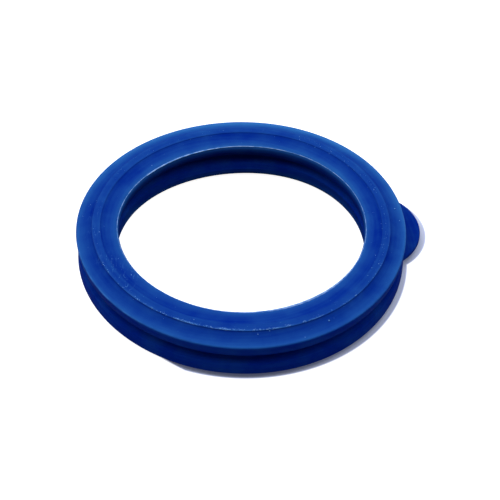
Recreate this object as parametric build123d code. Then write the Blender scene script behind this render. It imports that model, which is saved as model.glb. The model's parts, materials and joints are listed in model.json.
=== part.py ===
from build123d import *
import os

# Four-lip oil seal: one rubber moulding, lying flat.
# The origin is on the ring's axis, half way up. +Z is up, out of the upper end face, and -Y is the front.
# All sizes are in millimetres.

# Lips: one pair seals in the housing and one on the shaft, and each pair is mirrored about the mid plane
housing_lip_diameter = 67.4
section_width = 8.7         # radially, from the shaft lips to the housing lips
shaft_lip_span = 8.4        # along the axis, over the outermost edges of the two shaft lips
housing_lip_span = 7.4      # along the axis, over the outermost edges of the two housing lips
land_gap = 4.7              # along the axis, between the blunt sealing lands of a pair
lip_edge_radius = 0.3
land_end_radius = 0.8       # soft turn from a land into the flank that leans in to the groove

# V grooves between the lips of each pair
groove_mouth = 2.5          # along the axis, across a groove's mouth
mouth_setback = 0.25        # radially, from the lips to the mouth
mouth_radius = 0.3
shaft_groove_depth = 2.4
housing_groove_depth = 2.6
groove_root_radius = 0.4

# Flat ridge that stands up in the middle of each end face
overall_height = 9.4
ridge_setback = 3.4         # radially, from the housing lips to the ridge
ridge_width = 1.7
ridge_outer_step = 0.2      # height of its step on the housing side
ridge_inner_step = 0.1      # and on the shaft side
ridge_foot_radius = 0.1

# Hollow cove on each side of a ridge
cove_sag = 0.32             # depth below the straight line from the lip's edge to the ridge's foot

# Pull tab: part of a thin disc, moulded on the land of the lower housing lip
tab_radius = 11.4
tab_reach = 4.6             # how far its tip stands out past the lip
tab_thickness = 1.0
tab_setback = 0.35          # along the axis, from the lower lip's outermost edge to the tab's underside
tab_azimuth = 13.5          # degrees from +X towards +Y
tab_edge_radius = 0.25
tab_overlap = 0.5           # how far it runs into the lip, to join it

housing_lip_radius = housing_lip_diameter / 2
shaft_lip_radius = housing_lip_radius - section_width
shaft_lip_top = shaft_lip_span / 2
housing_lip_top = housing_lip_span / 2
ridge_outer_radius = housing_lip_radius - ridge_setback
ridge_inner_radius = ridge_outer_radius - ridge_width
ridge_top = overall_height / 2

# Sharp corners of the section's upper half, as radius and height
shaft_groove_root = (shaft_lip_radius + shaft_groove_depth, 0)
shaft_mouth = (shaft_lip_radius + mouth_setback, groove_mouth / 2)
shaft_land_end = (shaft_lip_radius, land_gap / 2)
shaft_lip_edge = (shaft_lip_radius, shaft_lip_top)
inner_foot = (ridge_inner_radius, ridge_top - ridge_inner_step)
inner_crest = (ridge_inner_radius, ridge_top)
outer_crest = (ridge_outer_radius, ridge_top)
outer_foot = (ridge_outer_radius, ridge_top - ridge_outer_step)
housing_lip_edge = (housing_lip_radius, housing_lip_top)
housing_land_end = (housing_lip_radius, land_gap / 2)
housing_mouth = (housing_lip_radius - mouth_setback, groove_mouth / 2)
housing_groove_root = (housing_lip_radius - housing_groove_depth, 0)


def cove(start, end):
    """Arc between a lip's edge and the ridge's foot, hollow in the end face."""
    middle = (Vector(*start) + Vector(*end)) / 2
    return ThreePointArc(start, middle - Vector(0, cove_sag), end)


def round_corners(section, corners, radius):
    """Round the named corners of the upper half, and the same ones of the lower half."""
    close = 0.001
    chosen = [
        vertex
        for vertex in section.vertices()
        for corner in corners
        if abs(vertex.X - corner[0]) < close and abs(abs(vertex.Y) - corner[1]) < close
    ]
    fillet(chosen, radius)


def seal_section():
    """The ring's cross-section, in the XZ plane: the upper half's outline and its mirror image."""
    with BuildSketch(Plane.XZ) as section:
        with BuildLine():
            Polyline(shaft_groove_root, shaft_mouth, shaft_land_end, shaft_lip_edge)
            cove(shaft_lip_edge, inner_foot)
            Polyline(inner_foot, inner_crest, outer_crest, outer_foot)
            cove(outer_foot, housing_lip_edge)
            Polyline(housing_lip_edge, housing_land_end, housing_mouth, housing_groove_root)
            mirror(about=Plane.XZ)
        make_face()
        round_corners(section, [shaft_groove_root, housing_groove_root], groove_root_radius)
        round_corners(section, [shaft_mouth, housing_mouth], mouth_radius)
        round_corners(section, [shaft_land_end, housing_land_end], land_end_radius)
        round_corners(section, [shaft_lip_edge, housing_lip_edge], lip_edge_radius)
        round_corners(section, [inner_foot, outer_foot], ridge_foot_radius)
    return section.sketch


def pull_tab():
    """The tab's disc with its rim rounded, cut back to where it joins the lower housing lip's land."""
    middle_height = tab_setback + tab_thickness / 2 - housing_lip_top
    centre_distance = housing_lip_radius + tab_reach - tab_radius
    with BuildPart() as tab:
        with Locations(Rotation(0, 0, tab_azimuth) * Location((centre_distance, 0, middle_height))):
            Cylinder(tab_radius, tab_thickness)
        fillet(tab.edges().filter_by(GeomType.CIRCLE), tab_edge_radius)
        with Locations((0, 0, middle_height)):
            Cylinder(housing_lip_radius - tab_overlap, tab_thickness, mode=Mode.SUBTRACT)
    return tab.part


def seal_ring():
    """The whole moulding: the revolved ring with its pull tab."""
    with BuildPart() as ring:
        add(seal_section())
        revolve(axis=Axis.Z)
        add(pull_tab())
    return ring.part


ring = seal_ring()
ring.label = "seal_ring"

os.makedirs("parts", exist_ok=True)
export_step(ring, "parts/seal_ring.step")
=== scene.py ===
import json
import math

import bpy
import numpy as np
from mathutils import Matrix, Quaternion, Vector


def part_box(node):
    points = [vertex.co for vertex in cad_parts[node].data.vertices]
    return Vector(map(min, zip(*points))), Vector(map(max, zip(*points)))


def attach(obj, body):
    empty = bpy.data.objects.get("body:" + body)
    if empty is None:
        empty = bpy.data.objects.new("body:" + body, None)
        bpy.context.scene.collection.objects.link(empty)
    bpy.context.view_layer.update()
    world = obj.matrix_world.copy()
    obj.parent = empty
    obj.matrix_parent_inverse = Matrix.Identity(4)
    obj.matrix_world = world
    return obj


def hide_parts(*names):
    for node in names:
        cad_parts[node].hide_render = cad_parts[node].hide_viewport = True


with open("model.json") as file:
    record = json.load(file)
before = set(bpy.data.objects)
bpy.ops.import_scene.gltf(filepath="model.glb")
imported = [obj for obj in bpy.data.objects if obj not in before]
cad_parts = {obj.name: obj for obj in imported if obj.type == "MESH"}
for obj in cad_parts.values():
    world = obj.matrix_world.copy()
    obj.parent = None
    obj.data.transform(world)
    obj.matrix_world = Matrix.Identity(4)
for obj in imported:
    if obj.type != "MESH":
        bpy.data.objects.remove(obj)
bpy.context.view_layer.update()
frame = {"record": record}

# Oil seal, lying flat: one rubber moulding, with the flash and the dust that are on it.
# The origin is on the ring's axis, half way up. +Z is up and -Y is the front. All sizes are in metres.

MM = 0.001
DEGREE = math.pi / 180


def mount_radius(name):
    """Radius of a lip's sealing land, as the record's mount states it, in metres."""
    mount = next(m for m in frame["record"]["mounts"] if m["name"] == name)
    return mount["dims"]["r_mm"] * MM


# Main sizes of the seal, taken from the frame
ring_low, ring_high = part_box("seal_ring")
shaft_lip_radius = mount_radius("shaft_lip_upper")
housing_lip_radius = mount_radius("housing_lip_upper")
ridge_top = ring_high.z

# Lips of the section's upper half, with heights above the mid plane
shaft_lip_top = 4.2 * MM
housing_lip_top = 3.7 * MM
shaft_lip_rounding = 0.75 * MM
housing_lip_rounding = 0.3 * MM
land_gap = 4.7 * MM             # along the axis, between the sealing lands of a pair of lips
land_end_radius = 0.8 * MM
land_lean = 0.1 * MM            # how far a land leans in on its way to the groove

# V grooves between the lips of each pair
groove_mouth = 2.5 * MM
mouth_setback = 0.4 * MM
mouth_radius = 0.3 * MM
shaft_groove_depth = 2.4 * MM
housing_groove_depth = 2.6 * MM
groove_root_radius = 0.4 * MM

# Flat ridge in the middle of each end face, with a hollow cove on each side
ridge_outer_radius = 30.3 * MM
ridge_width = 1.7 * MM
ridge_inner_radius = ridge_outer_radius - ridge_width
ridge_outer_step = 0.2 * MM
ridge_inner_step = 0.1 * MM
ridge_crest_rounding = 0.04 * MM
ridge_foot_radius = 0.06 * MM
cove_sag = 0.32 * MM
ridge_outer_foot = ridge_top - ridge_outer_step
ridge_inner_foot = ridge_top - ridge_inner_step

# Pull tab on the lower housing lip
tab_radius = 11.4 * MM
tab_reach = 4.6 * MM
tab_thickness = 1.0 * MM
tab_setback = 0.35 * MM
tab_edge_radius = 0.25 * MM
tab_azimuth = 13.5 * DEGREE
tab_middle = tab_setback + tab_thickness / 2 - housing_lip_top
tab_centre = housing_lip_radius + tab_reach - tab_radius

# The soft ring has set a little out of round: waves round the ring, depth and azimuth of a crest.
# 0 waves move a lip all round. The upper and the lower shaft lip have waves of their own as well.
shaft_lip_waves = [(2, 0.10 * MM, 3 * DEGREE), (3, 0.14 * MM, 68 * DEGREE)]
housing_lip_waves = [(2, 0.10 * MM, 84 * DEGREE), (3, 0.18 * MM, 48 * DEGREE)]
upper_shaft_lip_waves = [
    (0, -0.25 * MM, 0),
    (1, 0.15 * MM, 20 * DEGREE),
    (2, 0.19 * MM, 13 * DEGREE),
    (3, 0.11 * MM, 38 * DEGREE),
]
lower_shaft_lip_waves = [
    (0, 0.09 * MM, 0),
    (1, 0.13 * MM, 10 * DEGREE),
    (2, 0.54 * MM, 13 * DEGREE),
    (3, 0.16 * MM, 47 * DEGREE),
    (4, 0.09 * MM, -40 * DEGREE),
]

# Stretches round the ring: azimuth of the middle and half width
back_of_ring = (88 * DEGREE, 62 * DEGREE)
back_of_bore = (105 * DEGREE, 62 * DEGREE)
left_front = (213 * DEGREE, 26 * DEGREE)
right_side = (4 * DEGREE, 20 * DEGREE)
right_of_bore = (38 * DEGREE, 24 * DEGREE)
front_of_crest = (262 * DEGREE, 48 * DEGREE)
flash_at_back = (95 * DEGREE, 70 * DEGREE)
flash_at_back_left = (130 * DEGREE, 24 * DEGREE)
flash_at_front_right = (302 * DEGREE, 30 * DEGREE)

# Painted light: a paler tone where light catches the lips' edges and the land below the shaft lip's edge,
# with a painted sheen at the back: its weight at an edge, and how far it reaches from there
shaft_lip_painted_light = (0.75, 1.2 * MM)
housing_lip_painted_light = (0.6, 1.5 * MM)
right_bore_painted_light = (0.5, 1.2 * MM)
back_lip_painted_sheen = (1.1, 1.4 * MM)
shaft_land_painted_light = (0.65, 1.2 * MM)

# Weights alone: painted light makes the ridge a little paler, and painted shade makes the walls of the bore's
# groove deeper
ridge_painted_light = 0.15
bore_wall_painted_shade = -0.25

# Painted highlights along the lips' edges, a painted sheen at the back and pale flash along the ridge's
# crest: inset from the sharp edge and half width
housing_edge_line = (0.1 * MM, 0.14 * MM)
shaft_edge_line = (0.35 * MM, 0.2 * MM)
back_edge_half_width = 0.8 * MM
back_edge_weight = 0.75
crest_half_width = 0.3 * MM

# Weight of a line all round, and what its strongest stretch adds
shaft_edge_weights = (0.1, 0.9)
crest_weights = (0.08, 0.32)

# Where the top has been rubbed: azimuth in degrees, radius and reach in millimetres
scuffed_spots = [
    (204, 28.8, 1.6), (210, 28.5, 1.8), (216, 28.7, 1.5), (222, 29.3, 1.3),
    (188, 29.6, 1.4), (217, 26.6, 1.2), (177, 30.4, 1.2),
]

# Film of flash that stands in from the bore's upper edge. It is torn narrower for a stretch
bore_flash_thickness = 0.07 * MM
bore_flash_width = 0.1 * MM
bore_flash_unevenness = 0.08 * MM
bore_flash_shares = (0.3, 0.7)      # of the width: all round, and added at the back
back_left_extra = 0.2 * MM
front_right_extra = 0.3 * MM
bore_flash_direction = (-1, 0.35)   # towards the axis and up
tear_start = 145 * DEGREE
tear_length = 20 * DEGREE
share_after_tear = 0.55

# Broken line of flash along the ridge's outer crest
ridge_flash_thickness = 0.06 * MM
ridge_flash_width = 0.07 * MM
ridge_flash_least = 0.004 * MM
ridge_flash_inset = 0.04 * MM
ridge_flash_direction = (1, 0.7)    # away from the axis and up
flash_root = 0.12 * MM              # how far a film runs into the rubber

# Single grains that show on the top: azimuth in degrees, radius and size in millimetres
large_grains = [
    (302.8, 31.4, 0.34), (10.5, 32.1, 0.3), (276.7, 30.8, 0.2), (281.0, 30.4, 0.2), (292.2, 32.9, 0.2),
    (4.1, 32.5, 0.16), (8.9, 25.3, 0.24), (216.3, 26.6, 0.2), (333.8, 28.8, 0.18), (337.1, 29.6, 0.16),
    (341.7, 28.2, 0.16), (171.6, 31.6, 0.14), (188.6, 28.8, 0.16), (138.4, 26.4, 0.16), (253.0, 29.2, 0.16),
]

# Fine dust: bands of radius, insets and sizes in millimetres.
# The azimuths and the crumbs' insets are each a middle and a spread.
small_grain_count = 150
share_on_ridge = 0.6
ridge_band = (28.8, 30.1)
whole_top = (25.6, 33.2)
small_grain_sizes = (0.04, 0.1)
crumb_count = 620
crumb_azimuths = (267 * DEGREE, 22 * DEGREE)
crumb_insets = (0.02, 0.17)
crumb_least_inset = 0.05
crumb_sizes = (0.05, 0.19)
ridge_speck_count = 46
ridge_speck_azimuths = (22 * DEGREE, 26 * DEGREE)
ridge_speck_band = (28.4, 30.2)
ridge_speck_sizes = (0.08, 0.15)

# Fineness of the meshes
columns_of_ring = 520
columns_of_tab = 56
columns_of_flash = 1400
points_on_corner = 4
longest_step = 0.5 * MM
weld_distance = 0.001 * MM


# Section of the ring

def span_point(start, end, sag, share):
    """Point at a share of the way along a straight or hollow span of the section."""
    start, end = np.array(start), np.array(end)
    flat = start + (end - start) * share
    if sag == 0:
        return flat
    chord = end - start
    half = np.linalg.norm(chord) / 2
    radius = (half**2 + sag**2) / (2 * sag)
    across = np.array((chord[1], -chord[0])) / (2 * half)
    along = chord / (2 * half)
    half_angle = math.asin(half / radius)
    angle = (2 * share - 1) * half_angle
    centre = (start + end) / 2 - across * (radius - sag)
    return centre + radius * (math.sin(angle) * along + math.cos(angle) * across)


def rounded_corner(before, corner_entry, corner_exit, after):
    """Circular arc that leaves one span at corner_entry and joins the next at corner_exit."""
    incoming = corner_entry - before
    outgoing = after - corner_exit
    incoming = incoming / np.linalg.norm(incoming)
    outgoing = outgoing / np.linalg.norm(outgoing)
    matrix = np.array((incoming, -outgoing)).T
    reach = np.linalg.solve(matrix, corner_exit - corner_entry)
    control = corner_entry + incoming * reach[0]
    weight = math.sqrt((1 + float(incoming @ outgoing)) / 2)
    points = []
    for step in range(points_on_corner + 1):
        t = step / points_on_corner
        a, b, c = (1 - t) ** 2, 2 * t * (1 - t) * weight, t**2
        points.append((a * corner_entry + b * control + c * corner_exit) / (a + b + c))
    return points


def rounded_outline(corners):
    """Closed outline of a section.

    Each corner is its radius, its height, its rounding and the sag of the span that follows it.
    """
    count = len(corners)
    place = [np.array(corner[:2]) for corner in corners]
    spans = []
    for index in range(count):
        start, end, sag = place[index], place[(index + 1) % count], corners[index][3]
        length = np.linalg.norm(end - start)
        spans.append((start, end, sag, length))

    def setback(index):
        """How far along its two spans a corner's rounding reaches."""
        near_corner = 0.02
        start, end, sag, _ = spans[index - 1]
        incoming = end - span_point(start, end, sag, 1 - near_corner)
        start, end, sag, _ = spans[index]
        outgoing = span_point(start, end, sag, near_corner) - start
        cosine = float(incoming @ outgoing) / (np.linalg.norm(incoming) * np.linalg.norm(outgoing))
        turn = math.acos(max(-1.0, min(1.0, cosine)))
        return corners[index][2] * math.tan(turn / 2)

    setbacks = [setback(index) for index in range(count)]
    outline = []
    close_by = 0.002
    for index in range(count):
        start, end, sag, length = spans[index - 1]
        entry_share = 1 - setbacks[index] / length
        before = span_point(start, end, sag, entry_share - close_by)
        entry = span_point(start, end, sag, entry_share)
        start, end, sag, length = spans[index]
        exit_share = setbacks[index] / length
        leave = span_point(start, end, sag, exit_share)
        after = span_point(start, end, sag, exit_share + close_by)
        outline += rounded_corner(before, entry, leave, after)
        last_share = 1 - setbacks[(index + 1) % count] / length
        steps = max(1, round((last_share - exit_share) * length / longest_step))
        for step in range(1, steps):
            share = exit_share + (last_share - exit_share) * step / steps
            outline.append(span_point(start, end, sag, share))
    return outline


def upper_corners():
    """Corners of the section's upper half, from the shaft side over the ridge to the housing side."""
    return [
        (shaft_lip_radius + mouth_setback, groove_mouth / 2, mouth_radius, 0),
        (shaft_lip_radius + land_lean, land_gap / 2, land_end_radius, 0),
        (shaft_lip_radius, shaft_lip_top, shaft_lip_rounding, cove_sag),
        (ridge_inner_radius, ridge_inner_foot, ridge_foot_radius, 0),
        (ridge_inner_radius, ridge_top, ridge_crest_rounding, 0),
        (ridge_outer_radius, ridge_top, ridge_crest_rounding, 0),
        (ridge_outer_radius, ridge_outer_foot, ridge_foot_radius, cove_sag),
        (housing_lip_radius, housing_lip_top, housing_lip_rounding, 0),
        (housing_lip_radius - land_lean, land_gap / 2, land_end_radius, 0),
        (housing_lip_radius - mouth_setback, groove_mouth / 2, mouth_radius, 0),
    ]


def section_corners():
    """Corners of the whole section. The lower half mirrors the upper one, walked the other way."""
    upper = upper_corners()
    lower = []
    for index in range(len(upper) - 1, -1, -1):
        radius, height, rounding, _ = upper[index]
        sag_before = upper[index - 1][3] if index > 0 else 0
        lower.append((radius, -height, rounding, sag_before))
    shaft_root = (shaft_lip_radius + shaft_groove_depth, 0, groove_root_radius, 0)
    housing_root = (housing_lip_radius - housing_groove_depth, 0, groove_root_radius, 0)
    return [shaft_root, *upper, housing_root, *lower]


def waves_at(azimuth, waves):
    """Sum of the low waves round the ring, at an azimuth."""
    return sum(depth * np.cos(count * (azimuth - crest)) for count, depth, crest in waves)


def out_of_round(radius, azimuth, height):
    """How far outward the set in the rubber has moved a point.

    It is blended from the bore to the outside. What moves one shaft lip alone fades sooner.
    """
    share = np.clip((radius - shaft_lip_radius) / (housing_lip_radius - shaft_lip_radius), 0, 1)
    above = np.clip(height / (land_gap / 2), 0, 1)
    below = np.clip(-height / (land_gap / 2), 0, 1)
    inner = waves_at(azimuth, shaft_lip_waves)
    outer = waves_at(azimuth, housing_lip_waves)
    upper_lip = waves_at(azimuth, upper_shaft_lip_waves) * above
    lower_lip = waves_at(azimuth, lower_shaft_lip_waves) * below
    return inner + (outer - inner) * share + (upper_lip + lower_lip) * (1 - share) ** 4


# Pull tab

def tab_rim(azimuth):
    """Distance from the ring's axis to the tab's rim, or the land's radius beside the tab."""
    turn = (azimuth - tab_azimuth + math.pi) % (2 * math.pi) - math.pi
    aside = tab_centre * math.sin(turn)
    if abs(aside) > tab_radius:
        return housing_lip_radius
    rim = tab_centre * math.cos(turn) + math.sqrt(tab_radius**2 - aside**2)
    return max(rim, housing_lip_radius)


def tab_half_width():
    """Azimuth from the tab's middle to its root, where its rim leaves the lip."""
    cosine = (tab_centre**2 + housing_lip_radius**2 - tab_radius**2) / (2 * tab_centre * housing_lip_radius)
    return math.acos(cosine)


def tab_section():
    """Points over the tab: share of the way out to the rim's rounding, inset from the rim and height."""
    half = tab_thickness / 2
    flat_points = 6
    points = []
    for step in range(flat_points):
        points.append((step / flat_points, 0.0, half))
    for step in range(points_on_corner + 1):
        angle = 90 * DEGREE * step / points_on_corner
        inset = tab_edge_radius * (1 - math.sin(angle))
        points.append((1.0, inset, half - tab_edge_radius * (1 - math.cos(angle))))
    mirrored = [(share, inset, -height) for share, inset, height in reversed(points)]
    return points + mirrored


# Meshes

def ring_azimuths():
    """Azimuths of the ring's columns, closer together over the tab, with columns on the tab's two roots."""
    first_root = tab_azimuth - tab_half_width()
    last_root = tab_azimuth + tab_half_width()
    over_tab = np.linspace(first_root, last_root, columns_of_tab, endpoint=False)
    past_tab = np.linspace(last_root, first_root + 2 * math.pi, columns_of_ring, endpoint=False)
    return np.concatenate((over_tab, past_tab))


def land_radius(height):
    """Radius of a housing lip's land at a height. It leans in towards the groove."""
    share = (housing_lip_top - abs(height)) / (housing_lip_top - land_gap / 2)
    return housing_lip_radius - land_lean * share


def ring_rows(azimuths):
    """Radius and height of the ring's points: one row for each azimuth, one column for each section point."""
    outline = rounded_outline(section_corners())
    upper_join = tab_middle + tab_thickness / 2
    lower_join = tab_middle - tab_thickness / 2
    off_land = 0.02 * MM
    on_land = [
        index
        for index, (radius, height) in enumerate(outline)
        if abs(radius - land_radius(height)) < off_land and lower_join < height < upper_join
    ]
    before, after = outline[:on_land[0]], outline[on_land[-1] + 1:]
    over_tab = tab_section()
    rows = []
    for azimuth in azimuths:
        stand = tab_rim(azimuth) - housing_lip_radius
        section = list(before)
        for share, inset, height in over_tab:
            reach = stand - tab_edge_radius if share < 1 else stand - inset
            radius = land_radius(tab_middle + height) + max(0.0, reach) * share
            section.append(np.array((radius, tab_middle + height)))
        section += after
        rows.append(section)
    return np.array(rows)


def in_space(rows, azimuths):
    """Points in space of rows of radius and height, with the ring's set out of round added."""
    turn = azimuths[:, None]
    radius = rows[:, :, 0] + out_of_round(rows[:, :, 0], turn, rows[:, :, 1])
    return np.stack((radius * np.cos(turn), radius * np.sin(turn), rows[:, :, 1]), axis=2)


def welded_mesh(name, grid, masks):
    """Mesh of a grid that closes on itself both ways, with its coincident points made one."""
    rows, columns = grid.shape[:2]
    flat = grid.reshape(-1, 3)
    keys = np.round(flat / weld_distance).astype(np.int64)
    _, first, index = np.unique(keys, axis=0, return_index=True, return_inverse=True)
    index = index.reshape(rows, columns)
    faces = []
    for row in range(rows):
        here, following = index[row], index[(row + 1) % rows]
        for column in range(columns):
            beside = (column + 1) % columns
            corners = [here[column], here[beside], following[beside], following[column]]
            kept = [int(c) for n, c in enumerate(corners) if c != corners[n - 1]]
            if len(set(kept)) > 2:
                faces.append(kept)
    mesh = bpy.data.meshes.new(name)
    mesh.from_pydata(flat[first].tolist(), [], faces)
    for label, values in masks.items():
        attribute = mesh.attributes.new(label, "FLOAT", "POINT")
        attribute.data.foreach_set("value", values.reshape(-1)[first].astype(np.float32))
    mesh.shade_smooth()
    return mesh


# Masks over the ring

far_away = 1.0      # a distance at which every soft band has gone


def fading(distance, weight, reach):
    """Weight at an edge, which fades away over a reach."""
    return weight * np.exp(-distance / reach)


def soft_band(distance, half_width):
    """Soft band of height 1 about a line."""
    return np.exp(-((distance / half_width) ** 2))


def bump_at(azimuth, centre, half_width):
    """Soft bump of height 1 about an azimuth."""
    turn = (azimuth - centre + math.pi) % (2 * math.pi) - math.pi
    return soft_band(turn, half_width)


def lip_edge_distances(radius, height):
    """Distances over the section from the sharp edges of the shaft lip and of the housing lip."""
    from_shaft_edge = np.hypot(radius - shaft_lip_radius, height - shaft_lip_top)
    from_housing_edge = np.hypot(radius - housing_lip_radius, height - housing_lip_top)
    return from_shaft_edge, from_housing_edge


def end_face_share(radius, height):
    """1 on the end faces and 0 on the lands and in the grooves, with a soft change at the lips' edges."""
    change = 0.3 * MM
    below_housing_edge = 0.35 * MM
    below_shaft_edge = 0.65 * MM
    shaft_side_radius = 28 * MM     # the shaft lip's own limit holds up to here
    share = np.clip((height - housing_lip_top + below_housing_edge) / change, 0, 1)
    on_shaft_side = np.clip((height - shaft_lip_top + below_shaft_edge) / change, 0, 1)
    return share * np.where(radius < shaft_side_radius, on_shaft_side, 1)


def painted_light_and_shade_mask(radius, height, azimuth):
    """Painted light and shade: paler where light catches the lips' edges, the ridge and the shaft lip's land,
    with a painted sheen at the back, and darker on the walls of the bore's groove.
    """
    from_shaft_edge, from_housing_edge = lip_edge_distances(radius, height)
    on_end_face = end_face_share(radius, height)
    on_ridge = np.clip((height - ridge_top) / ridge_inner_step + 1, 0, 1)
    painted_light_and_shade = fading(from_shaft_edge, *shaft_lip_painted_light) + fading(from_housing_edge, *housing_lip_painted_light)
    # Painted light along the bore's edge at the right, and a painted sheen along the housing lip's edge at
    # the back
    painted_light_and_shade += bump_at(azimuth, *right_of_bore) * fading(from_shaft_edge, *right_bore_painted_light)
    painted_light_and_shade += bump_at(azimuth, *back_of_ring) * fading(from_housing_edge, *back_lip_painted_sheen)
    painted_light_and_shade = (painted_light_and_shade + ridge_painted_light * on_ridge) * on_end_face
    in_bore = radius < shaft_lip_radius + shaft_groove_depth
    # Painted shade on the walls of the bore's groove
    painted_light_and_shade += np.where(in_bore, bore_wall_painted_shade * (1 - on_end_face), 0)
    # Painted light on the shaft lip's land, just below its edge
    land_depth = 0.6 * MM
    on_shaft_land = radius < shaft_lip_radius + land_depth
    below_edge = np.where(on_shaft_land, shaft_lip_top - height, far_away)
    weight, reach = shaft_land_painted_light
    return np.maximum(painted_light_and_shade, weight * soft_band(below_edge, reach))


def edge_highlights_and_flash(radius, height, azimuth):
    """Painted highlights along the lips' edges and a painted sheen at the back, with pale flash along the
    ridge's outer crest.
    """
    from_shaft_edge, from_housing_edge = lip_edge_distances(radius, height)
    inset, half_width = housing_edge_line
    # Painted highlights along the housing lip's edge at the front left and at the right
    highlighted_parts = bump_at(azimuth, *left_front) + bump_at(azimuth, *right_side)
    wear = highlighted_parts * soft_band(from_housing_edge - inset, half_width)
    # Painted sheen along the housing lip's edge at the back
    at_back = back_edge_weight * bump_at(azimuth, *back_of_ring) * end_face_share(radius, height)
    wear = np.maximum(wear, at_back * soft_band(from_housing_edge, back_edge_half_width))
    # Painted highlight along the bore's upper edge, strongest at the back
    inset, half_width = shaft_edge_line
    all_round, added = shaft_edge_weights
    along_bore = all_round + added * bump_at(azimuth, *back_of_bore)
    wear = np.maximum(wear, along_bore * soft_band(from_shaft_edge - inset, half_width))
    # Pale flash along the ridge's outer crest
    crest_height = 0.05 * MM
    near_crest = height > ridge_top - crest_height
    from_crest = np.where(near_crest, ridge_outer_radius - radius, far_away)
    all_round, added = crest_weights
    along_crest = all_round + added * bump_at(azimuth, *front_of_crest)
    return np.maximum(wear, along_crest * soft_band(from_crest, crest_half_width))


def scuffs(radius, height, azimuth):
    """Rubbed spots on the top."""
    scuffed = np.zeros_like(radius)
    for spot_azimuth, spot_radius, reach in scuffed_spots:
        arc = (azimuth - spot_azimuth * DEGREE) * radius
        away = np.hypot(arc, radius - spot_radius * MM)
        scuffed = np.maximum(scuffed, soft_band(away, reach * MM))
    return scuffed * (height > 0)


def section_masks(rows, azimuths):
    """Masks over the ring for its rubber: painted light and shade, painted highlights with pale flash on the
    crest, and scuffs. Both end faces are alike, but for the scuffs.
    """
    radius, height = rows[:, :, 0], rows[:, :, 1]
    azimuth = azimuths[:, None]
    return {
        "painted_light_and_shade": painted_light_and_shade_mask(radius, np.abs(height), azimuth),
        "edge": edge_highlights_and_flash(radius, np.abs(height), azimuth),
        "scuffed": scuffs(radius, height, azimuth),
    }


# Pieces of the seal

def add_piece(name, mesh, material):
    """Piece of the seal, which rides with the moulding and takes the material it is given."""
    piece = bpy.data.objects.new(name, mesh)
    bpy.context.scene.collection.objects.link(piece)
    mesh.materials.append(material)
    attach(piece, "root")
    return piece


def make_seal(material):
    """The ring with its tab, in place of the plain solid."""
    azimuths = ring_azimuths()
    rows = ring_rows(azimuths)
    mesh = welded_mesh("seal", in_space(rows, azimuths), section_masks(rows, azimuths))
    seal = add_piece("seal", mesh, material)
    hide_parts("seal_ring")


def uneven(azimuths, finest, random):
    """Uneven height round the ring, from 0 to 1: a sum of waves, from 9 in a turn up to the finest."""
    total = np.zeros_like(azimuths)
    waves = 9
    while waves < finest:
        total += np.cos(waves * azimuths + random.uniform(0, 2 * math.pi)) * random.uniform(0.6, 1.0)
        waves = int(waves * random.uniform(1.25, 1.5)) + 1
    low, high = total.min(), total.max()
    return (total - low) / (high - low)


def fin_rows(root, direction, lengths, thickness):
    """Section of a fine film of flash at each azimuth: rooted in the edge, thinner towards its tip."""
    root_radius, root_height = root
    size = math.hypot(*direction)
    out, up = direction[0] / size, direction[1] / size
    half = thickness / 2
    # Share of the length, or below 0 the root, and share of the half thickness
    profile = [(-1, 1.0), (0.5, 0.8), (1, 0.35), (1, -0.35), (0.5, -0.8), (-1, -1.0)]
    rows = []
    for length in lengths:
        section = []
        for along, side in profile:
            reach = -flash_root if along < 0 else length * along
            radius = root_radius + out * reach - up * side * half
            height = root_height + up * reach + out * side * half
            section.append((radius, height))
        rows.append(section)
    return np.array(rows)


def make_bore_flash(material):
    """Film of flash along the bore's upper edge, rooted in the middle of the edge's rounding."""
    random = np.random.default_rng(11)
    azimuths = np.linspace(0, 2 * math.pi, columns_of_flash, endpoint=False)
    all_round, added = bore_flash_shares
    at_back = all_round + added * bump_at(azimuths, *flash_at_back)
    unevenness = bore_flash_unevenness * uneven(azimuths, finest=160, random=random)
    lengths = (bore_flash_width + unevenness) * at_back
    lengths += back_left_extra * bump_at(azimuths, *flash_at_back_left)
    lengths += front_right_extra * bump_at(azimuths, *flash_at_front_right)
    past_tear = (azimuths > tear_start) & (azimuths < tear_start + tear_length)
    lengths = np.where(past_tear, lengths * share_after_tear, lengths)
    sharp_edge = np.array((shaft_lip_radius, shaft_lip_top))
    outline = rounded_outline(section_corners())
    root = min(outline, key=lambda point: np.linalg.norm(point - sharp_edge))
    rows = fin_rows(root, bore_flash_direction, lengths, bore_flash_thickness)
    mesh = welded_mesh("bore_flash", in_space(rows, azimuths), {})
    add_piece("bore_flash", mesh, material)


def make_ridge_flash(material):
    """Broken line of flash along the ridge's outer crest, strongest at the front."""
    random = np.random.default_rng(5)
    azimuths = np.linspace(0, 2 * math.pi, columns_of_flash, endpoint=False)
    # The uneven height is steepened until the film breaks off between its peaks
    broken = np.clip(uneven(azimuths, finest=620, random=random) * 1.7 - 0.55, 0, 1)
    lengths = ridge_flash_width * broken * bump_at(azimuths, *front_of_crest) + ridge_flash_least
    root = (ridge_outer_radius - ridge_flash_inset, ridge_top - ridge_flash_inset)
    rows = fin_rows(root, ridge_flash_direction, lengths, ridge_flash_thickness)
    mesh = welded_mesh("ridge_flash", in_space(rows, azimuths), {})
    add_piece("ridge_flash", mesh, material)


# Dust

def end_face_height(radius):
    """Height of the upper end face at a radius, outside the ridge's roundings."""
    if radius < ridge_inner_radius:
        start, end = (shaft_lip_radius, shaft_lip_top), (ridge_inner_radius, ridge_inner_foot)
    elif radius > ridge_outer_radius:
        start, end = (ridge_outer_radius, ridge_outer_foot), (housing_lip_radius, housing_lip_top)
    else:
        return ridge_top
    share = (radius - start[0]) / (end[0] - start[0])
    return float(span_point(start, end, cove_sag, share)[1])


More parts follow.
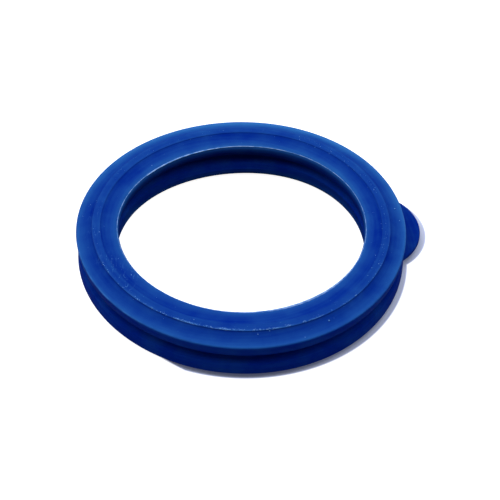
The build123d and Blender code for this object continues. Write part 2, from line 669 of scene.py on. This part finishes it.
def lumpy_grain(radius, azimuth, size, random):
    """Points and faces of one lumpy grain that lies on the end face, ring by ring from its top."""
    rings, sides = 4, 7
    flatness, lift = 0.7, 0.2
    height = end_face_height(radius)
    radius += float(out_of_round(radius, azimuth, height))
    centre = np.array((radius * math.cos(azimuth), radius * math.sin(azimuth), height))
    stretch = random.uniform(0.7, 1.3)
    points = []
    for ring in range(rings + 1):
        tilt = math.pi * ring / rings
        pole = ring in (0, rings)
        for side in range(sides):
            turn = 2 * math.pi * side / sides
            lump = random.uniform(0.8, 1.15)
            offset = np.array((
                math.sin(tilt) * math.cos(turn) * stretch,
                math.sin(tilt) * math.sin(turn) / stretch,
                math.cos(tilt) * flatness,
            ))
            points.append(centre + offset * size / 2 * (1.0 if pole else lump) + (0, 0, lift * size))
    faces = []
    for ring in range(rings):
        for side in range(sides):
            beside = (side + 1) % sides
            low, high = ring * sides, (ring + 1) * sides
            faces.append((low + side, high + side, high + beside, low + beside))
    return points, faces


def dust_places(random):
    """Radius, azimuth and size of every grain: large ones where they lie, and fine ones at random."""
    grains = [(radius * MM, azimuth * DEGREE, size * MM) for azimuth, radius, size in large_grains]
    for _ in range(small_grain_count):
        on_ridge = random.random() < share_on_ridge
        band = ridge_band if on_ridge else whole_top
        radius = random.uniform(*band) * MM
        grains.append((radius, random.uniform(0, 2 * math.pi), random.uniform(*small_grain_sizes) * MM))
    # Crumbs gather just inside the crest at the front, in clumps that two waves round the ring set
    for _ in range(crumb_count):
        azimuth = random.normal(*crumb_azimuths)
        clumped = math.cos(23 * azimuth) + math.cos(61 * azimuth + 1) > random.uniform(-1.6, 1.2)
        radius = ridge_outer_radius - abs(random.normal(*crumb_insets)) * MM - crumb_least_inset * MM
        if clumped:
            grains.append((radius, azimuth, random.uniform(*crumb_sizes) * MM))
    # Specks on the ridge at the right
    for _ in range(ridge_speck_count):
        azimuth = random.normal(*ridge_speck_azimuths)
        radius = random.uniform(*ridge_speck_band) * MM
        grains.append((radius, azimuth, random.uniform(*ridge_speck_sizes) * MM))
    return grains


def make_dust(material):
    """All the dust on the upper end face, as one piece."""
    random = np.random.default_rng(23)
    vertices, faces = [], []
    for radius, azimuth, size in dust_places(random):
        points, sides = lumpy_grain(radius, azimuth, size, random)
        start = len(vertices)
        vertices += [tuple(point) for point in points]
        faces += [tuple(start + corner for corner in face) for face in sides]
    mesh = bpy.data.meshes.new("dust")
    mesh.from_pydata(vertices, [], faces)
    mesh.shade_smooth()
    add_piece("dust", mesh, material)


# Shader nodes

def add_node(tree, kind, values=None, **settings):
    """New node of a kind, with its settings and the values of its sockets."""
    node = tree.nodes.new(kind)
    for name, value in settings.items():
        setattr(node, name, value)
    for socket, value in (values or {}).items():
        node.inputs[socket].default_value = value
    return node


def new_group(name, inputs, output):
    """Empty node group with named number sockets, given as name and value, and one output."""
    tree = bpy.data.node_groups.new(name, "ShaderNodeTree")
    for label, value in inputs.items():
        socket = tree.interface.new_socket(label, in_out="INPUT", socket_type="NodeSocketFloat")
        socket.default_value = value
    tree.interface.new_socket(output, in_out="OUTPUT", socket_type="NodeSocketFloat")
    entry = tree.nodes.new("NodeGroupInput")
    leave = tree.nodes.new("NodeGroupOutput")
    place = tree.nodes.new("ShaderNodeTexCoord")
    return tree, entry.outputs, leave.inputs[output], place.outputs["Object"]


def frequency_of(tree, size):
    """Noise scale for features of a size in metres."""
    node = add_node(tree, "ShaderNodeMath", {0: 1.0}, operation="DIVIDE")
    tree.links.new(size, node.inputs[1])
    return node.outputs[0]


def moulded_grain_group():
    """Fine grain that the mould's surface leaves on rubber."""
    tree, inputs, output, place = new_group("moulded_grain", {"Size": 0.3 * MM}, "Height")
    noise = add_node(tree, "ShaderNodeTexNoise", {"Detail": 3.0, "Roughness": 0.6})
    tree.links.new(place, noise.inputs["Vector"])
    tree.links.new(frequency_of(tree, inputs["Size"]), noise.inputs["Scale"])
    tree.links.new(noise.outputs["Fac"], output)
    return tree


def clouding_group():
    """Soft cloudy patches, from 0 to 1, about 0.5."""
    tree, inputs, output, place = new_group("clouding", {"Size": 4 * MM, "Contrast": 2.0}, "Cloud")
    noise = add_node(tree, "ShaderNodeTexNoise", {"Detail": 4.0, "Roughness": 0.55})
    tree.links.new(place, noise.inputs["Vector"])
    tree.links.new(frequency_of(tree, inputs["Size"]), noise.inputs["Scale"])
    centred = add_node(tree, "ShaderNodeMath", {1: 0.5}, operation="SUBTRACT")
    tree.links.new(noise.outputs["Fac"], centred.inputs[0])
    spread = add_node(tree, "ShaderNodeMath", {2: 0.5}, operation="MULTIPLY_ADD", use_clamp=True)
    tree.links.new(centred.outputs[0], spread.inputs[0])
    tree.links.new(inputs["Contrast"], spread.inputs[1])
    tree.links.new(spread.outputs[0], output)
    return tree


def turned_streaks_group():
    """Faint lines round the axis, as the turned mould leaves them. They fade and wander slowly."""
    tree, inputs, output, place = new_group("turned_streaks", {"Spacing": 0.4 * MM}, "Streak")
    wander = 0.04
    flat = add_node(tree, "ShaderNodeVectorMath", {1: (1, 1, 0)}, operation="MULTIPLY")
    tree.links.new(place, flat.inputs[0])
    radius = add_node(tree, "ShaderNodeVectorMath", operation="LENGTH")
    tree.links.new(flat.outputs["Vector"], radius.inputs[0])
    split = add_node(tree, "ShaderNodeSeparateXYZ")
    tree.links.new(place, split.inputs[0])
    along = add_node(tree, "ShaderNodeVectorMath", {1: (wander, wander, 0)}, operation="MULTIPLY")
    tree.links.new(place, along.inputs[0])
    across = add_node(tree, "ShaderNodeCombineXYZ")
    tree.links.new(radius.outputs["Value"], across.inputs["X"])
    tree.links.new(split.outputs["Z"], across.inputs["Z"])
    joined = add_node(tree, "ShaderNodeVectorMath", operation="ADD")
    tree.links.new(along.outputs["Vector"], joined.inputs[0])
    tree.links.new(across.outputs["Vector"], joined.inputs[1])
    noise = add_node(tree, "ShaderNodeTexNoise", {"Detail": 2.0, "Roughness": 0.5})
    tree.links.new(joined.outputs["Vector"], noise.inputs["Vector"])
    tree.links.new(frequency_of(tree, inputs["Spacing"]), noise.inputs["Scale"])
    tree.links.new(noise.outputs["Fac"], output)
    return tree


def hair_scratches_group():
    """Short hairline scratches, as a mask: contour lines of a stretched noise, broken up by patches."""
    tree, inputs, output, place = new_group("hair_scratches", {"Spacing": 1.2 * MM}, "Mask")
    slant, stretched_to = 0.6, 0.22
    hair_width = 0.025
    patch_frequency = 1400.0
    slanted = {"Rotation": (0, 0, slant), "Scale": (1.0, stretched_to, 1.0)}
    stretch = add_node(tree, "ShaderNodeMapping", slanted)
    tree.links.new(place, stretch.inputs["Vector"])
    noise = add_node(tree, "ShaderNodeTexNoise", {"Detail": 1.0})
    tree.links.new(stretch.outputs["Vector"], noise.inputs["Vector"])
    tree.links.new(frequency_of(tree, inputs["Spacing"]), noise.inputs["Scale"])
    centred = add_node(tree, "ShaderNodeMath", {1: 0.5}, operation="SUBTRACT")
    tree.links.new(noise.outputs["Fac"], centred.inputs[0])
    off_line = add_node(tree, "ShaderNodeMath", operation="ABSOLUTE")
    tree.links.new(centred.outputs[0], off_line.inputs[0])
    line = add_node(tree, "ShaderNodeMapRange", {"From Max": hair_width, "To Min": 1.0, "To Max": 0.0})
    tree.links.new(off_line.outputs[0], line.inputs["Value"])
    patches = add_node(tree, "ShaderNodeTexNoise", {"Scale": patch_frequency, "Detail": 2.0})
    tree.links.new(place, patches.inputs["Vector"])
    broken = add_node(tree, "ShaderNodeMapRange", {"From Min": 0.44, "From Max": 0.56})
    tree.links.new(patches.outputs["Fac"], broken.inputs["Value"])
    tree.links.new(multiplied(tree, line.outputs["Result"], broken.outputs["Result"]), output)
    return tree


def new_material(name):
    """Material with its Principled shader and its node tree."""
    material = bpy.data.materials.new(name)
    material.use_nodes = True
    return material, material.node_tree, material.node_tree.nodes["Principled BSDF"]


def use_group(tree, group, **values):
    """Group node with its own values. It returns the one output."""
    node = tree.nodes.new("ShaderNodeGroup")
    node.node_tree = group
    for label, value in values.items():
        node.inputs[label].default_value = value
    return node.outputs[0]


def mask_of(tree, name):
    """Mask that the mesh carries."""
    return add_node(tree, "ShaderNodeAttribute", attribute_name=name).outputs["Fac"]


def weighted_sum(tree, terms, start=0.0):
    """Sum of outputs, each times its weight, clamped from 0 to 1 at the end."""
    total = None
    for output, weight in terms:
        node = add_node(tree, "ShaderNodeMath", {1: weight, 2: start}, operation="MULTIPLY_ADD")
        tree.links.new(output, node.inputs[0])
        if total is not None:
            tree.links.new(total, node.inputs[2])
        total = node.outputs[0]
    node.use_clamp = True
    return total


def combined(tree, operation, first, second):
    """Two outputs put through one operation."""
    node = add_node(tree, "ShaderNodeMath", operation=operation)
    tree.links.new(first, node.inputs[0])
    tree.links.new(second, node.inputs[1])
    return node.outputs[0]


def multiplied(tree, first, second):
    """Product of two outputs."""
    return combined(tree, "MULTIPLY", first, second)


def mixed_colour(tree, factor, first, second):
    """Colour between two colours or colour outputs."""
    node = add_node(tree, "ShaderNodeMix", data_type="RGBA")
    tree.links.new(factor, node.inputs["Factor"])
    colour_sockets = {socket.identifier: socket for socket in [*node.inputs, *node.outputs]}
    for name, colour in (("A_Color", first), ("B_Color", second)):
        if isinstance(colour, tuple):
            colour_sockets[name].default_value = colour
        else:
            tree.links.new(colour, colour_sockets[name])
    return colour_sockets["Result_Color"]


def bumped(tree, shader, height, strength, distance):
    """Bump of the shader's normal."""
    bump = add_node(tree, "ShaderNodeBump", {"Strength": strength, "Distance": distance})
    tree.links.new(height, bump.inputs["Height"])
    tree.links.new(bump.outputs["Normal"], shader.inputs["Normal"])


moulded_grain = moulded_grain_group()
clouding = clouding_group()
turned_streaks = turned_streaks_group()
hair_scratches = hair_scratches_group()


# Materials

deep_blue = (0.0003, 0.019, 0.27, 1)
# Paler tone of the clouds and streaks, and of the painted light at the lips' edges
pale_blue = (0.022, 0.135, 0.440, 1)
# Colour of the painted highlights and sheen along the edges, and of the pale flash on the ridge's crest
edge_blue = (0.050, 0.195, 0.580, 1)
scuff_blue = (0.060, 0.220, 0.600, 1)
specular_blue = (0.05, 0.35, 1.0, 1)
flash_blue = (0.06, 0.20, 0.58, 1)
flash_white = (0.26, 0.44, 0.84, 1)
dust_blue = (0.06, 0.24, 0.70, 1)
dust_white = (0.20, 0.44, 0.92, 1)


def blue_rubber():
    """Satin blue rubber: deep blue with a paler cloudy tone and streaks, painted light and shade that make it
    paler at the lips' edges and deeper in the bore's groove, and painted highlights along its edges, with
    pale flash on the ridge's crest.
    """
    material, tree, shader = new_material("blue_rubber")
    cloud = use_group(tree, clouding, Size=5 * MM, Contrast=2.0)
    streak = use_group(tree, turned_streaks, Spacing=0.45 * MM)
    grain = use_group(tree, moulded_grain, Size=0.25 * MM)
    # Painted light and shade from the mask, with the cloudy tone and the turned streaks
    tone_and_painted_light = weighted_sum(tree, [(mask_of(tree, "painted_light_and_shade"), 1.0), (cloud, 0.28), (streak, 0.26)], -0.22)
    colour = mixed_colour(tree, tone_and_painted_light, deep_blue, pale_blue)
    patchy = use_group(tree, clouding, Size=3 * MM, Contrast=3.0)
    # Painted highlights and sheen along the edges, and pale flash on the ridge's crest, in patches
    edge = weighted_sum(tree, [(multiplied(tree, mask_of(tree, "edge"), patchy), 1.3)])
    colour = mixed_colour(tree, edge, colour, edge_blue)
    scuff = multiplied(tree, mask_of(tree, "scuffed"), use_group(tree, hair_scratches, Spacing=1.2 * MM))
    colour = mixed_colour(tree, weighted_sum(tree, [(scuff, 0.6)]), colour, scuff_blue)
    tree.links.new(colour, shader.inputs["Base Color"])
    tree.links.new(weighted_sum(tree, [(cloud, 0.12), (grain, 0.1)], 0.45), shader.inputs["Roughness"])
    shader.inputs["Specular IOR Level"].default_value = 0.012
    shader.inputs["Specular Tint"].default_value = specular_blue
    relief = weighted_sum(tree, [(grain, 0.7), (streak, 0.3)])
    bumped(tree, shader, relief, strength=0.25, distance=0.03 * MM)
    return material


def flash_rubber():
    """Thin film of the same rubber, nearly white in cloudy patches."""
    material, tree, shader = new_material("flash_rubber")
    cloud = use_group(tree, clouding, Size=1.2 * MM, Contrast=5.0)
    tree.links.new(mixed_colour(tree, cloud, flash_blue, flash_white), shader.inputs["Base Color"])
    grain = use_group(tree, moulded_grain, Size=0.15 * MM)
    tree.links.new(weighted_sum(tree, [(grain, 0.2)], 0.35), shader.inputs["Roughness"])
    shader.inputs["Specular IOR Level"].default_value = 0.2
    bumped(tree, shader, grain, strength=0.3, distance=0.02 * MM)
    return material


def pale_dust():
    """Pale dust with a blue cast."""
    material, tree, shader = new_material("pale_dust")
    cloud = use_group(tree, clouding, Size=2 * MM, Contrast=4.0)
    tree.links.new(mixed_colour(tree, cloud, dust_blue, dust_white), shader.inputs["Base Color"])
    shader.inputs["Roughness"].default_value = 0.9
    shader.inputs["Specular IOR Level"].default_value = 0.1
    return material


# Camera: where the photographer stood, with no shift
view_distance = 280 * MM
view_elevation = 43.87 * DEGREE
view_roll = 1.43 * DEGREE
focal_length = 98.98
aim = Vector((1.75, -3.57, 0)) * MM


def make_camera():
    """Camera in front of the ring, looking down on it."""
    data = bpy.data.cameras.new("camera")
    data.lens = focal_length
    data.sensor_width = 36
    data.clip_start = 0.01
    data.clip_end = 20
    camera = bpy.data.objects.new("camera", data)
    back = Vector((0, -math.cos(view_elevation), math.sin(view_elevation)))
    camera.location = aim + back * view_distance
    camera.rotation_mode = "QUATERNION"
    turn = Quaternion((0, 0, 1), view_roll)
    camera.rotation_quaternion = (-back).to_track_quat("-Z", "Y") @ turn
    bpy.context.scene.collection.objects.link(camera)
    bpy.context.scene.camera = camera


# Floor, with the circles that bound the strip of shade beside the seal, as centre and radius
floor_half_width = 3.0
tab_shade_centre = (
    tab_centre * math.cos(tab_azimuth) + 0.7 * MM,
    tab_centre * math.sin(tab_azimuth) + 1.2 * MM,
)
ring_shade = ((0.45 * MM, -0.1 * MM), housing_lip_radius - 0.1 * MM)
tab_shade = (tab_shade_centre, tab_radius + 0.3 * MM)
front_left_limit = ((15 * MM, 10 * MM), 48.9 * MM)
bore_opening = ((0, 0), shaft_lip_radius + 2.4 * MM)
shade_softness = 0.5 * MM

white = (1, 1, 1, 1)
shade_colour = (0.56, 0.62, 0.82, 1)
shade_glow = (0.55, 0.6, 0.9, 1)
bounced_outside = (0.46, 0.46, 0.48, 1)
bounced_in_bore = (0.10, 0.10, 0.11, 1)


def seen_directly(tree):
    """1 where the camera looks straight at the surface, 0 for light that bounces."""
    return tree.nodes.new("ShaderNodeLightPath").outputs["Is Camera Ray"]


def distance_past(tree, place, circle, sign=1):
    """Distance outside a circle on the floor, or inside it where the sign is negative."""
    centre, radius = circle
    length = add_node(tree, "ShaderNodeVectorMath", {1: (*centre, 0)}, operation="DISTANCE")
    tree.links.new(place, length.inputs[0])
    node = add_node(tree, "ShaderNodeMath", {1: sign, 2: -sign * radius}, operation="MULTIPLY_ADD")
    tree.links.new(length.outputs["Value"], node.inputs[0])
    return node.outputs[0]


def make_floor():
    """Pale floor, plain white where it is seen away from the seal, and dull where it lights the seal."""
    half = floor_half_width
    corners = [(-half, -half, 0), (half, -half, 0), (half, half, 0), (-half, half, 0)]
    mesh = bpy.data.meshes.new("floor")
    mesh.from_pydata(corners, [], [(0, 1, 2, 3)])
    floor = bpy.data.objects.new("floor", mesh)
    floor.location.z = ring_low.z
    bpy.context.scene.collection.objects.link(floor)
    material, tree, shader = new_material("floor")
    shader.inputs["Roughness"].default_value = 0.9
    shader.inputs["Specular IOR Level"].default_value = 0.0
    seen = seen_directly(tree)
    place = add_node(tree, "ShaderNodeTexCoord").outputs["Object"]
    off_ring = distance_past(tree, place, ring_shade)
    off_tab = distance_past(tree, place, tab_shade)
    off_front_left = distance_past(tree, place, front_left_limit)
    in_bore = distance_past(tree, place, bore_opening, sign=-1)
    off_seal = combined(tree, "MINIMUM", off_ring, off_tab)
    clear = combined(tree, "MAXIMUM", combined(tree, "MAXIMUM", off_seal, in_bore), off_front_left)
    inside = add_node(tree, "ShaderNodeMapRange", {"From Max": 2 * MM})
    tree.links.new(in_bore, inside.inputs["Value"])
    bounced = mixed_colour(tree, inside.outputs["Result"], bounced_outside, bounced_in_bore)
    tree.links.new(mixed_colour(tree, seen, bounced, shade_colour), shader.inputs["Base Color"])
    lift = add_node(tree, "ShaderNodeMapRange", {"From Max": shade_softness}, interpolation_type="SMOOTHSTEP")
    tree.links.new(clear, lift.inputs["Value"])
    glow_strength = add_node(tree, "ShaderNodeMath", {1: 0.85, 2: 0.1}, operation="MULTIPLY_ADD")
    tree.links.new(lift.outputs["Result"], glow_strength.inputs[0])
    tree.links.new(multiplied(tree, seen, glow_strength.outputs[0]), shader.inputs["Emission Strength"])
    glow = mixed_colour(tree, lift.outputs["Result"], shade_glow, white)
    tree.links.new(glow, shader.inputs["Emission Color"])
    floor.data.materials.append(material)


# Soft lights: place, width and depth in metres, and power
lights = {
    "behind": ((-0.05, 0.30, 0.45), (0.9, 0.4), 2.45),
    "in_front": ((0.0, -0.12, 0.5), (1.4, 0.25), 1.0),
    "left": ((-0.33, -0.02, 0.45), (0.3, 0.6), 0.93),
    "right": ((0.32, 0.0, 0.46), (0.3, 0.6), 0.66),
}
surroundings_as_light = 0.09
surroundings_seen = 1.0


def make_light(name, location, size, power):
    """Soft light of a width and depth, aimed at the seal."""
    data = bpy.data.lights.new(name, "AREA")
    data.shape = "RECTANGLE"
    data.size, data.size_y = size
    data.energy = power
    light = bpy.data.objects.new(name, data)
    light.location = location
    light.rotation_mode = "QUATERNION"
    light.rotation_quaternion = (-Vector(location)).to_track_quat("-Z", "Y")
    bpy.context.scene.collection.objects.link(light)


def make_world():
    """Even surroundings: white where they are seen, dimmer as light."""
    world = bpy.data.worlds.new("surroundings")
    world.use_nodes = True
    tree = world.node_tree
    background = tree.nodes["Background"]
    background.inputs["Color"].default_value = white
    levels = {"To Min": surroundings_as_light, "To Max": surroundings_seen}
    strength = add_node(tree, "ShaderNodeMapRange", levels)
    tree.links.new(seen_directly(tree), strength.inputs["Value"])
    tree.links.new(strength.outputs["Result"], background.inputs["Strength"])
    bpy.context.scene.world = world


make_camera()
make_floor()
make_world()
for light_name, (location, size, power) in lights.items():
    make_light(light_name, location, size, power)

make_seal(blue_rubber())
flash = flash_rubber()
make_bore_flash(flash)
make_ridge_flash(flash)
make_dust(pale_dust())

bpy.context.scene.view_settings.view_transform = "Standard"
